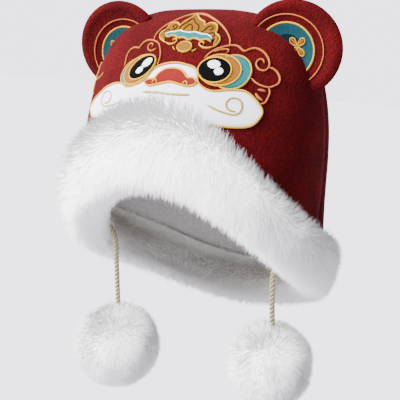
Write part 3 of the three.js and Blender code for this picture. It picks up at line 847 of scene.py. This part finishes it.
def line(work, points, width, thread, place=on_front, closed=False, base=0.0, height=1.1):
    """A line of stitching of one width along a smooth curve, with rounded ends."""
    spots = curve_through(points, LINE_STEPS, closed)
    spots = evenly(spots + spots[:1] if closed else spots, LINE_GAP)
    spots = spots[:-1] if closed else spots
    last = len(spots) - 1
    pairs = []
    for k, spot in enumerate(spots):
        before = spots[k - 1 if closed else max(k - 1, 0)]
        after = spots[(k + 1) % len(spots) if closed else min(k + 1, last)]
        way = (after - before) / np.linalg.norm(after - before)
        wide = 1.0 if closed else min(1.0, LINE_END["share"] + min(k, last - k) * LINE_END["growth"])
        half = np.array((-way[1], way[0])) * width / 2 * wide
        pairs.append((spot - half, spot + half))
    stitch(work, pairs, LINE_SECTION, height, thread, place, closed, base)


EDGE_STEPS = 8


def fill(work, upper, lower, thread, place=on_front, base=0.0, height=0.9, columns=48):
    """A filled patch between an upper and a lower edge, both drawn from left to right."""
    top, bottom = (np.array(curve_through(edge, EDGE_STEPS)) for edge in (upper, lower))
    first = max(top[0][0], bottom[0][0])
    last = min(top[-1][0], bottom[-1][0])
    pairs = []
    for k in range(columns + 1):
        x = first + (last - first) * (1 - math.cos(math.pi * k / columns)) / 2
        pairs.append([(x, np.interp(x, edge[:, 0], edge[:, 1])) for edge in (bottom, top)])
    stitch(work, pairs, FILL_SECTION, height, thread, place, base=base)


def oval_point(x, z, aside, up, tilt):
    """A place in an oval that stands turned by `tilt` degrees."""
    level, rise = math.cos(math.radians(tilt)), math.sin(math.radians(tilt))
    return (x + aside * level - up * rise, z + aside * rise + up * level)


OVAL_TIP = 0.02


def oval(
    work, x, z, half_wide, half_high, thread, place=on_front, base=0.0, height=0.9, columns=28, tilt=0,
    section=FILL_SECTION,
):
    """A filled oval, turned by `tilt` degrees, that is blunt at its two tips."""
    pairs = []
    for k in range(columns + 1):
        turn = math.pi * k / columns
        edge = max(math.sin(turn), OVAL_TIP) * half_high
        across = -math.cos(turn) * half_wide
        pairs.append((oval_point(x, z, across, -edge, tilt), oval_point(x, z, across, edge, tilt)))
    stitch(work, pairs, section, height, thread, place, base=base)


def ring(x, z, half_wide, half_high, count=20, tilt=0):
    """The edge of an oval, as points for a closed line."""
    turns = [2 * math.pi * k / count for k in range(count)]
    return [oval_point(x, z, math.cos(turn) * half_wide, math.sin(turn) * half_high, tilt) for turn in turns]


def new_work():
    return {"points": [], "faces": [], "uv": [], "thread": []}


def embroidery(name, work, node):
    """The piece that all stitching gathered in `work` makes, with its thread and its chart."""
    finishes = list(THREADS.values()) + [white_plush]
    piece = new_piece(name, work["points"], work["faces"], finishes, outward=True)
    mesh = piece.data
    mesh.polygons.foreach_set("material_index", work["thread"])
    chart = mesh.uv_layers.new(name="stitch")
    for loop in mesh.loops:
        chart.data[loop.index].uv = work["uv"][loop.vertex_index]
    if node:
        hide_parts(node)
    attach(piece, "root")
    return piece


# The outlines below are in mm in the front view: x to the wearer's left, and the height.
MUZZLE_TOP = (
    (-76, -70.5), (-72.8, -65.3), (-65, -59), (-58.7, -54.6), (-48, -50.8), (-30, -51), (-21, -46),
    (-16, -38.5), (-8, -35), (0, -33.8), (8, -34.6), (17, -37.4), (21, -46), (30, -50.5), (45, -49),
    (53, -49.4), (60, -54), (65.5, -61),
)
MUZZLE_FOOT = (
    (-76, -72), (-71, -77), (-60, -77), (-25, -72.5), (0, -71.5), (25, -72), (50, -73.3), (61, -71.2),
    (65.5, -64.5),
)
MUZZLE_RIM = MUZZLE_TOP + MUZZLE_FOOT[::-1]
muzzle = new_work()
fill(muzzle, MUZZLE_TOP, MUZZLE_FOOT, "plush", height=0.8, columns=90)
line(muzzle, MUZZLE_RIM, 1.4, "cream", closed=True, height=1.5)
CHEEK_SCROLL = (
    (30.6, -60.1), (36.9, -62.6), (42.8, -64.2), (48.4, -65.1), (52, -63.7), (53.1, -59.7), (51.1, -55.6),
    (47.3, -54.2), (44, -55.3), (42.6, -58.4), (44.4, -61.6), (47.1, -62.7), (49.6, -62.9),
)
# On the other cheek the scroll is mirrored, and sits farther out and lower.
CHEEK_OFFSET = (8, 3)
FAR_CHEEK_SCROLL = [(-x - CHEEK_OFFSET[0], z - CHEEK_OFFSET[1]) for x, z in CHEEK_SCROLL]
MOUTH = ((-20.5, -55.3), (-8, -54.8), (4, -55.2), (16.7, -54.6))
line(muzzle, CHEEK_SCROLL, 1.6, "straw", height=1.5)
line(muzzle, FAR_CHEEK_SCROLL, 1.3, "straw", height=1.4)
line(muzzle, MOUTH, 1.9, "straw", height=1.5)
embroidery("muzzle", muzzle, "muzzle_patch")

NOSE_TOP = (
    (-20.6, -48.4), (-18.2, -46.5), (-13.3, -45.6), (-11, -42.3), (-7, -39.1), (-0.6, -37.7), (5.6, -38.4),
    (9.3, -40.5), (12.5, -43.4), (16.3, -43.2), (19.8, -45.8),
)
NOSE_FOOT = (
    (-20.6, -48.8), (-18.6, -50.2), (-14.8, -50.5), (-8.6, -49), (0, -47.1), (8.2, -48.3), (14.6, -48.9),
    (18.1, -48), (19.8, -46.4),
)
NOSTRIL = ((10.4, -49.4), (10.6, -47.2), (12, -46), (13.4, -47.2), (13.6, -49.4))
nose = new_work()
fill(nose, NOSE_TOP, NOSE_FOOT, "red", base=0.6, height=1.0)
line(nose, NOSE_TOP + NOSE_FOOT[::-1], 1.7, "cream", closed=True, height=1.9)
for sign in (1, -1):
    line(nose, [(sign * x, z) for x, z in NOSTRIL], 1.2, "cream", base=0.6, height=1.5)
embroidery("nose", nose, "nose_patch")

# Each eye's ovals from the back to the front, as middle, half width and half height. The far eye
# stands turned, by `tilt` degrees, as the cloth pulls it.
EYES = {
    "left": {
        "tilt": -4, "teal": (41.8, -37.7, 12, 11.2), "orange": (33.5, -37, 14, 10),
        "black": (30, -37.3, 11.4, 8.2), "glints": ((28.8, -33.9, 4.4, 2.9), (33.2, -38.2, 3.1, 2.6)),
    },
    "right": {
        "tilt": 36, "teal": (-33.4, -42.6, 12, 9), "orange": (-29.2, -40.4, 13.4, 8.8),
        "black": (-26.4, -38.8, 11.6, 7), "glints": ((-22.6, -35.4, 4.4, 2.8), (-27.4, -41, 3.2, 2.2)),
    },
}
for side in SIDES:
    drawn = EYES[side["name"]]
    tilt = drawn["tilt"]
    eye = new_work()
    for thread, base in (("teal", 0.3), ("orange", 0.7), ("black", 1.1)):
        oval(eye, *drawn[thread], thread, base=base, tilt=tilt)
        line(eye, ring(*drawn[thread], tilt=tilt), 1.2, "cream", closed=True, base=base, height=1.2)
    for glint in drawn["glints"]:
        oval(eye, *glint, "white", base=1.5, columns=14, tilt=tilt)
    embroidery(f"eye_{side['name']}", eye, f"eye_patch_{side['name']}")

# The cloud's scalloped edge with a flame in its middle, from its left tip to its right one.
CLOUD_EDGE = (
    (-14, -20.2), (-17.2, -19), (-20.6, -17), (-21.4, -13.7), (-17.4, -11), (-17.2, -8), (-14.2, -6.2),
    (-10.5, -6.6), (-8.4, -8), (-6.4, -5.2), (-3.4, -2.6), (-0.6, 0.4), (2.6, -1.8), (6.4, -3.8), (9.6, -5),
    (11.2, -7.4), (13.4, -5.8), (16.8, -5.6), (20.2, -7.2), (21.6, -10.2), (21.8, -12.6), (25, -14.2),
    (26.6, -17), (25.6, -20), (23.6, -21.8),
)
TEAL_EDGE = (
    (-17, -14.6), (-13, -13), (-9.6, -12.9), (-6, -11.8), (-3.4, -12.4), (2, -13), (6.4, -12.5), (12.5, -13.8),
    (17, -14), (21, -16.4),
)
TEAL_FOOT = (
    (-17, -15.4), (-14, -16.4), (-10.9, -15.4), (-8, -15.6), (-5.1, -16.8), (-0.4, -16.4), (3.6, -18), (7, -16.8),
    (10, -16.9), (13.1, -17.9), (16.2, -17), (18.5, -17.2), (21, -18.8),
)
GOLD_FOOT = ((-21.4, -14.6),) + TEAL_EDGE + ((25, -15.4),)
# The tips of the cloud turn down at its two ends.
CLOUD_TIPS = (
    ((-19.6, -13.6), (-19, -16), (-17.4, -17.6), (-15.4, -18.8)),
    ((23.2, -14.6), (24.4, -17), (24, -19.2), (23.6, -20.6)),
)
BEAD = (2.6, -22.7, 5.6, 3.4)
ornament = new_work()
fill(ornament, CLOUD_EDGE[3:-3], GOLD_FOOT, "gold", columns=64)
for tip in CLOUD_TIPS:
    line(ornament, tip, 3.4, "gold", height=1.0)
fill(ornament, TEAL_EDGE, TEAL_FOOT, "teal", base=0.2, columns=56)
line(ornament, CLOUD_EDGE, 1.2, "cream", height=1.4)
line(ornament, TEAL_FOOT, 1.1, "cream", base=0.2, height=1.2)
line(ornament, TEAL_EDGE, 0.9, "white", base=0.4, height=0.9)
for scroll in (
    # Two curls in each end of the cloud, and the flame's inner edge.
    ((-19, -13.6), (-17, -11.4), (-14.6, -11.8), (-14.6, -13.2), (-16, -13.2)),
    ((-13.4, -11.8), (-11, -11.2), (-9.8, -9.4), (-11.4, -8), (-13.4, -8.6), (-13, -10), (-11.8, -10)),
    ((10.8, -12.4), (12.6, -11.4), (13.6, -9.4), (15.6, -7.8), (18, -8.8), (17.8, -10.6), (16.2, -10.8)),
    ((14.8, -13.2), (18, -13), (20.2, -12.4), (21.8, -14.4), (20.4, -15.4)),
    ((-7.6, -11.6), (-6.6, -8.6), (-4.2, -6.4), (-1, -3), (2.8, -6), (6.2, -7.6), (8, -10.4), (7.6, -12)),
    ((-3.6, -11.6), (-2.4, -9), (-0.4, -7.2), (2.2, -9), (3.4, -12)),
):
    line(ornament, scroll, 0.8, "bronze", base=0.5, height=1.0)
for scroll in (
    # Cream curls that hang from the teal, over the plush, and a dash to each side of the bead.
    ((-14, -20.2), (-10.6, -21.2), (-7, -20.6), (-5.2, -18.8), (-6.6, -17.4), (-8.6, -18.2), (-8.2, -19.2)),
    ((23.6, -21.8), (19.4, -22.8), (15.4, -22), (12.9, -20.4), (13.8, -18.8), (16.4, -19.4), (16.2, -20.6)),
    ((-6.6, -23), (-5.2, -24.4), (-3.8, -25)),
    ((9.4, -25.4), (10.8, -24.8), (12.4, -23.6)),
):
    line(ornament, scroll, 1.1, "cream", height=1.2)
oval(ornament, *BEAD, "gold", base=0.2, columns=18)
line(ornament, ring(*BEAD), 1.0, "cream", closed=True, base=0.2, height=1.2)
embroidery("forehead_cloud", ornament, "forehead_patch")

FOREHEAD_ARCH = (
    (-25, -19.5), (-25.5, -15.5), (-24, -12), (-20.5, -8.2), (-15, -4.4), (-10, -1.2), (-5, 0.8), (0, 1.4),
    (6, 0.8), (12, -1.2), (21.5, -5.6), (29, -11), (33.5, -16.4), (35, -21),
)
BROW_SCROLL = (
    (20.3, -30), (22.6, -26.4), (26, -23.5), (31, -21.3), (36.4, -19.8), (40.8, -20.4), (43.8, -22.4),
    (45.7, -23.2), (48.3, -21.7), (51.4, -20.8), (56.1, -22.2), (60.3, -25.6), (62.8, -29.7), (63.1, -32.7),
    (61.4, -35), (58.2, -34.6), (55.6, -32), (55.1, -29.4), (56.8, -27.8), (58.8, -28.3), (59.9, -30.4),
)
EAR_SIDE_LOBE = (
    (63.3, -33.1), (65.1, -33.2), (68.4, -35.3), (71.1, -39.4), (71.1, -42.8), (68.9, -44.7), (66.4, -45.7),
    (62.4, -45.1), (58.3, -43.3), (54.6, -40.6),
)
CHEEK_TAIL = ((66.5, -46.5), (67.5, -49), (67.2, -52.4), (65.9, -55.9), (63.2, -57.1))
CHEEK_DASHES = (((60.3, -47.6), (62.7, -47.9), (65.1, -48.5)), ((59.4, -50.2), (61.8, -52.8), (64.5, -54.5)))
BROW_DROP = ((25.3, -24.9), (30.3, -23.1), (35.4, -23.2), (34.3, -25.7))
# The other brow is drawn smaller, because the cloth turns away sooner there.
FAR_BROW = (
    (-14.4, -36.7), (-14.3, -32), (-14.9, -28.4), (-17.3, -23.9), (-20, -21), (-25, -19.2), (-31, -19.2),
    (-34.8, -21.8), (-36, -24.6), (-41, -24.8), (-44.4, -27), (-45.6, -31), (-45, -35), (-44.4, -39),
)
FAR_CURL = (
    (-20, -24.6), (-24, -26.6), (-27, -25.6), (-28.2, -23.2), (-26.7, -21.4), (-24.2, -22), (-24.6, -23.8),
)
# How much farther out and lower the mirrored ones are.
SIDE_OFFSET = (14, 4)
SCROLL_WIDTH = 1.15
scrolls = new_work()
for route in (FOREHEAD_ARCH, BROW_SCROLL, FAR_BROW, FAR_CURL):
    line(scrolls, route, SCROLL_WIDTH, "rose")
for route in (EAR_SIDE_LOBE, CHEEK_TAIL):
    line(scrolls, route, SCROLL_WIDTH, "rose")
    line(scrolls, [(-x - SIDE_OFFSET[0], z - SIDE_OFFSET[1]) for x, z in route], SCROLL_WIDTH, "rose")
for dash in CHEEK_DASHES:
    line(scrolls, dash, 1.8, "rose")
line(scrolls, BROW_DROP, 1.0, "rose")
embroidery("face_scrolls", scrolls, None)


# Ears. Padded round cups of the same red plush with a rolled rim, set into the side seam, each
# with a teal patch and two cream lines worked in its hollow.
EAR_RADIUS = 33
EAR_WIDEN = 1.1
EAR_HALF_THICK = 4.5
EAR_RIM_POWER = 6
EAR_CUP = 7
EAR_Y = -19
EAR_TILT = math.radians(6)
EAR_RINGS = 30
EAR_SPOKES = 120
# The rim is rolled, and the stuffing settles in soft lumps.
EAR_ROLL = {"radius": 28.5, "wide": 3, "high": 0.9}
EAR_LUMP = 0.5
EAR_LUMP_SIZE = 14
LUMPS_APART = 20
INTO_PLUSH = 2.6
# The patch's section is fine enough to follow where it dips into the crown.
PATCH_ROWS = 36
PATCH_SECTION = (
    ((0.0, -0.5), (0.02, 0.7)) + tuple((0.04 + 0.92 * k / PATCH_ROWS, 1.0) for k in range(PATCH_ROWS + 1))
    + ((0.98, 0.7), (1.0, -0.5))
)
PATCH_HALF_HIGH = 19
OUTER_LINE = {"wider": 7, "half_high": 24.5}
# The middle of each ear's patch and of its flower, in mm from the ear's own middle.
EAR_PATCH = {
    "left": {"x": -4, "z": -1.5, "half_wide": 20, "flower": (3.5, 1.5)},
    "right": {"x": 4, "z": -5, "half_wide": 20.5, "flower": (-3.5, -3)},
}
# Four petals in a cross. A petal's points are its reach from the middle, and how far aside.
PETAL_TURNS = (0.85, 2.3, -0.85, -2.3)
PETAL_EDGE = ((0.5, 0), (3, 1.4), (5.8, 1.9), (7.6, 0), (5.8, -1.9), (3, -1.4))
PETAL_CORE = ((0.5, 0), (2.6, 0), (4.8, 0), (7, 0))


def ear_middle(r):
    return EAR_CUP * (1 - (r / EAR_RADIUS) ** 2)


def ear_half(r):
    return EAR_HALF_THICK * math.sqrt(max(1 - (r / EAR_RADIUS) ** EAR_RIM_POWER, 0))


def clear_of_crown(spot, sign):
    """Draws a point that lies inside the crown out into the thickness of its plush."""
    _, along = dome_shares(spot.z)
    if spot.z >= CROWN_TOP_Z or abs(spot.y) >= CROWN_HALF_DEPTH * along:
        return spot
    turn = math.asin(spot.y / (CROWN_HALF_DEPTH * along))
    angle = turn if sign > 0 else math.pi - turn
    wall = dome_point(angle, spot.z)
    if sign * spot.x < sign * wall.x - INTO_PLUSH:
        return wall - dome_normal(angle, spot.z) * INTO_PLUSH
    return spot


def ear_point(side, x, y, z):
    turned = Vector((x, y, z))
    turned.rotate(Euler((EAR_TILT, 0, 0)))
    return clear_of_crown(turned + Vector((side["ear_x"], EAR_Y, side["ear_z"])), side["sign"])


def on_ear(side):
    """The chart of an ear's front: x across and z up from its middle, and `lift` above it."""
    def place(x, z, lift):
        r = min(math.hypot(x / EAR_WIDEN, z), EAR_RADIUS * 0.99)
        return ear_point(side, x, ear_middle(r) - ear_half(r) - lift, z)
    return place


def in_petal(middle, turn, spots):
    return [
        (middle[0] + math.cos(turn) * reach - math.sin(turn) * aside,
         middle[1] + math.sin(turn) * reach + math.cos(turn) * aside)
        for reach, aside in spots
    ]


for side in SIDES:
    points, faces = [], []
    for face in (-1, 1):
        for j in range(1, EAR_RINGS + (1 if face < 0 else 0)):
            r = EAR_RADIUS * math.sin(j / EAR_RINGS * math.pi / 2)
            roll = EAR_ROLL["high"] * math.exp(-((r - EAR_ROLL["radius"]) / EAR_ROLL["wide"]) ** 2)
            for k in range(EAR_SPOKES):
                turn = 2 * math.pi * k / EAR_SPOKES
                x, z = r * EAR_WIDEN * math.cos(turn), r * math.sin(turn)
                lump = EAR_LUMP * noise.noise(Vector((x, face * LUMPS_APART, z)) / EAR_LUMP_SIZE)
                padding = ear_half(r) * (1 + (roll + lump) / EAR_HALF_THICK)
                points.append(ear_point(side, x, ear_middle(r) + face * padding, z))
    poles = len(points)
    points.append(ear_point(side, 0, EAR_CUP - EAR_HALF_THICK, 0))
    points.append(ear_point(side, 0, EAR_CUP + EAR_HALF_THICK, 0))
    front = lambda j, k: (j - 1) * EAR_SPOKES + k % EAR_SPOKES
    back = lambda j, k: front(j, k) if j == EAR_RINGS else (EAR_RINGS + j - 1) * EAR_SPOKES + k % EAR_SPOKES
    for k in range(EAR_SPOKES):
        faces.append((poles, front(1, k), front(1, k + 1)))
        faces.append((poles + 1, back(1, k + 1), back(1, k)))
        for j in range(1, EAR_RINGS):
            faces.append((front(j, k), front(j + 1, k), front(j + 1, k + 1), front(j, k + 1)))
            faces.append((back(j, k), back(j, k + 1), back(j + 1, k + 1), back(j + 1, k)))
    ear = new_piece(f"ear_plush_{side['name']}", points, faces, [red_plush], outward=True)
    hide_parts(f"ear_{side['name']}")
    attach(ear, "root")

    place = on_ear(side)
    patch = new_work()
    drawn = EAR_PATCH[side["name"]]
    x, z, half_wide = drawn["x"], drawn["z"], drawn["half_wide"]
    oval(patch, x, z, half_wide, PATCH_HALF_HIGH, "deep_teal", place, columns=72, section=PATCH_SECTION)
    line(patch, ring(x, z, half_wide, PATCH_HALF_HIGH, 32), 1.4, "cream", place, closed=True, height=1.3)
    outer = ring(x, z, half_wide + OUTER_LINE["wider"], OUTER_LINE["half_high"], 36)
    line(patch, outer, 0.9, "rose", place, closed=True, height=0.8)
    for turn in PETAL_TURNS:
        edge, core = (in_petal(drawn["flower"], turn, spots) for spots in (PETAL_EDGE, PETAL_CORE))
        line(patch, edge, 0.8, "cream", place, closed=True, base=0.7, height=1.0)
        line(patch, core, 3.0, "orange", place, base=0.5, height=1.0)
    embroidery(f"ear_embroidery_{side['name']}", patch, f"ear_patch_{side['name']}")


# Studio. A pale floor well below the pompoms, one large soft lamp to the left of the camera and
# above it, and an even pale surround that fills the shadows.
FLOOR_Z = -420
FLOOR_HALF = 9000
paper, shader = new_material("studio_paper_matt", "CBCBD2", 0.9, specular=0.0)
tree = paper.node_tree
tree.links.new(mix(tree, grain(tree, 3.0), "CDCDD4", "C9C9D0"), shader.inputs["Base Color"])
corners = [(x * FLOOR_HALF, y * FLOOR_HALF, FLOOR_Z) for x, y in ((-1, -1), (1, -1), (1, 1), (-1, 1))]
floor = new_piece("floor", corners, [(0, 1, 2, 3)], [paper])

KEY_LIGHT = {"azimuth": -52, "height": 36, "softness": 40, "strength": 24}
lamp_data = bpy.data.lights.new("key", "SUN")
lamp_data.energy = KEY_LIGHT["strength"]
lamp_data.angle = math.radians(KEY_LIGHT["softness"])
lamp = bpy.data.objects.new("key", lamp_data)
place_facing_back(lamp, way_to(KEY_LIGHT["azimuth"], KEY_LIGHT["height"]), 1.0)

# The surround is brighter on the key lamp's side. What is seen of it directly is even and pale.
DIM_SIDE = (0.9, -0.43, 0.0)
SURROUND_STRENGTH = 1.7
DIM_SHARE = 0.4
BACKDROP_STRENGTH = 3.95
sky = bpy.data.worlds.new("studio")
sky.use_nodes = True
tree = sky.node_tree
seen = tree.nodes["Background"]
seen.inputs["Color"].default_value = linear("E4E2EC")
seen.inputs["Strength"].default_value = BACKDROP_STRENGTH
way = add(tree, "ShaderNodeTexCoord")
toward = add(tree, "ShaderNodeVectorMath", {0: way.outputs["Generated"], 1: DIM_SIDE}, operation="DOT_PRODUCT")
level = spread(tree, toward.outputs["Value"], -1.0, 1.0, SURROUND_STRENGTH, SURROUND_STRENGTH * DIM_SHARE)
lighting = add(tree, "ShaderNodeBackground", {"Color": linear("EBEBF0"), "Strength": level})
ray = add(tree, "ShaderNodeLightPath")
both = add(tree, "ShaderNodeMixShader", {
    0: ray.outputs["Is Camera Ray"], 1: lighting.outputs[0], 2: seen.outputs[0],
})
tree.links.new(both.outputs[0], tree.nodes["World Output"].inputs["Surface"])
bpy.context.scene.world = sky
